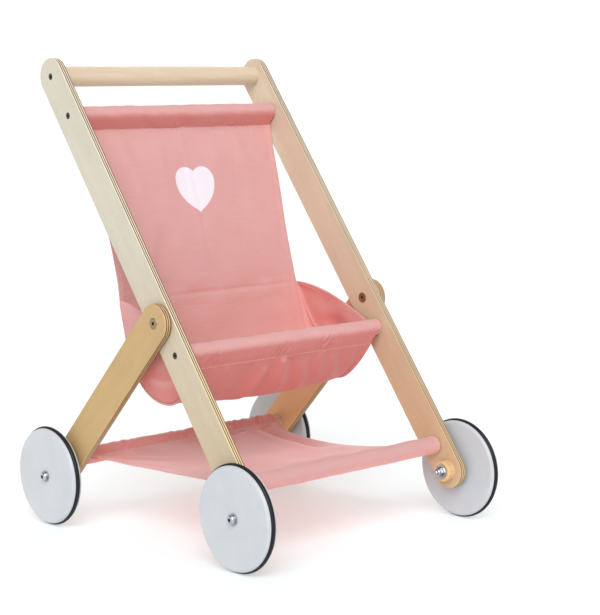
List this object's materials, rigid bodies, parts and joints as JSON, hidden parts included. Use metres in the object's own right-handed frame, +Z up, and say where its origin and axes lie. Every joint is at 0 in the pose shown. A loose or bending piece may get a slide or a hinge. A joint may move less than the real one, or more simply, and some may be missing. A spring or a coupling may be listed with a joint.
{
  "type": "doll stroller",
  "caption": "Folding wooden doll stroller with a slung cloth seat, a cloth basket, a dowel handle and rubber-tyred disc wheels.",
  "frame": {"origin": "on the ground, midway between the front and rear axles and midway between the sides", "axes": "+Z up; -Y towards the front wheels, +Y towards the handle; +X to the right seen from the front-facing side with -Y nearest"},
  "size_m": [0.3956, 0.4575, 0.5601],
  "materials": {
    "pale_plywood": "birch plywood, clear matt lacquer",
    "golden_plywood": "warmer birch plywood, clear matt lacquer",
    "dowel_wood": "turned hardwood, fine sanded, clear matt lacquer",
    "boss_wood": "turned hardwood",
    "dark_screw_steel": "blackened steel, hex socket",
    "bronzed_steel": "bronze-plated steel",
    "zinc_steel": "bright zinc-plated steel",
    "brass": "threaded brass",
    "white_nylon": "natural nylon",
    "white_painted_wood": "white satin paint",
    "black_rubber": "smooth black rubber",
    "pink_cotton": "plain-woven dusty pink cotton, hemmed"
  },
  "bodies": {
    "frame": {"left_side_board": "pale_plywood", "right_side_board": "pale_plywood", "handle_dowel": "dowel_wood", "backrest_dowel": "dowel_wood", "seat_front_dowel": "dowel_wood", "basket_front_dowel": "dowel_wood", "handle_screws": "dark_screw_steel", "backrest_screws": "dark_screw_steel", "seat_front_screws": "dark_screw_steel", "basket_front_screws": "dark_screw_steel", "frame_threaded_inserts": "brass", "left_pivot_sleeve_nut": "bronzed_steel", "right_pivot_sleeve_nut": "bronzed_steel", "left_pivot_bolt": "bronzed_steel", "right_pivot_bolt": "bronzed_steel", "left_pivot_washer": "white_nylon", "right_pivot_washer": "white_nylon", "front_left_axle_bolt": "zinc_steel", "front_right_axle_bolt": "zinc_steel", "front_left_boss": "boss_wood", "front_right_boss": "boss_wood", "front_spacers": "white_nylon", "front_outer_washers": "zinc_steel", "front_inner_washers": "zinc_steel", "front_lock_nuts": "zinc_steel", "seat_strip": "pink_cotton", "seat_left_gusset": "pink_cotton", "seat_right_gusset": "pink_cotton", "basket_front_sleeve": "pink_cotton", "basket_panel": "pink_cotton"},
    "rear_legs": {"left_rear_leg": "golden_plywood", "right_rear_leg": "golden_plywood", "basket_rear_dowel": "dowel_wood", "basket_rear_screws": "dark_screw_steel", "rear_threaded_inserts": "brass", "basket_rear_sleeve": "pink_cotton", "rear_left_axle_bolt": "zinc_steel", "rear_right_axle_bolt": "zinc_steel", "rear_left_boss": "boss_wood", "rear_right_boss": "boss_wood", "rear_spacers": "white_nylon", "rear_outer_washers": "zinc_steel", "rear_inner_washers": "zinc_steel", "rear_lock_nuts": "zinc_steel"},
    "front_left_wheel": {"front_left_wheel_disc": "white_painted_wood", "front_left_tyre": "black_rubber"},
    "front_right_wheel": {"front_right_wheel_disc": "white_painted_wood", "front_right_tyre": "black_rubber"},
    "rear_left_wheel": {"rear_left_wheel_disc": "white_painted_wood", "rear_left_tyre": "black_rubber"},
    "rear_right_wheel": {"rear_right_wheel_disc": "white_painted_wood", "rear_right_tyre": "black_rubber"}
  },
  "joints": [
    {"name": "fold", "type": "hinge", "parent": "frame", "child": "rear_legs", "pos_m": [0, -0.02822, 0.25885], "axis": [-1, 0, 0], "range_deg": [0, 54], "deforming": ["basket_panel"]},
    {"name": "front_left_spin", "type": "hinge", "parent": "frame", "child": "front_left_wheel", "pos_m": [-0.176, -0.16875, 0.06], "axis": [1, 0, 0], "continuous": true},
    {"name": "front_right_spin", "type": "hinge", "parent": "frame", "child": "front_right_wheel", "pos_m": [0.176, -0.16875, 0.06], "axis": [1, 0, 0], "continuous": true},
    {"name": "rear_left_spin", "type": "hinge", "parent": "rear_legs", "child": "rear_left_wheel", "pos_m": [-0.186, 0.16875, 0.06], "axis": [1, 0, 0], "continuous": true},
    {"name": "rear_right_spin", "type": "hinge", "parent": "rear_legs", "child": "rear_right_wheel", "pos_m": [0.186, 0.16875, 0.06], "axis": [1, 0, 0], "continuous": true}
  ]
}
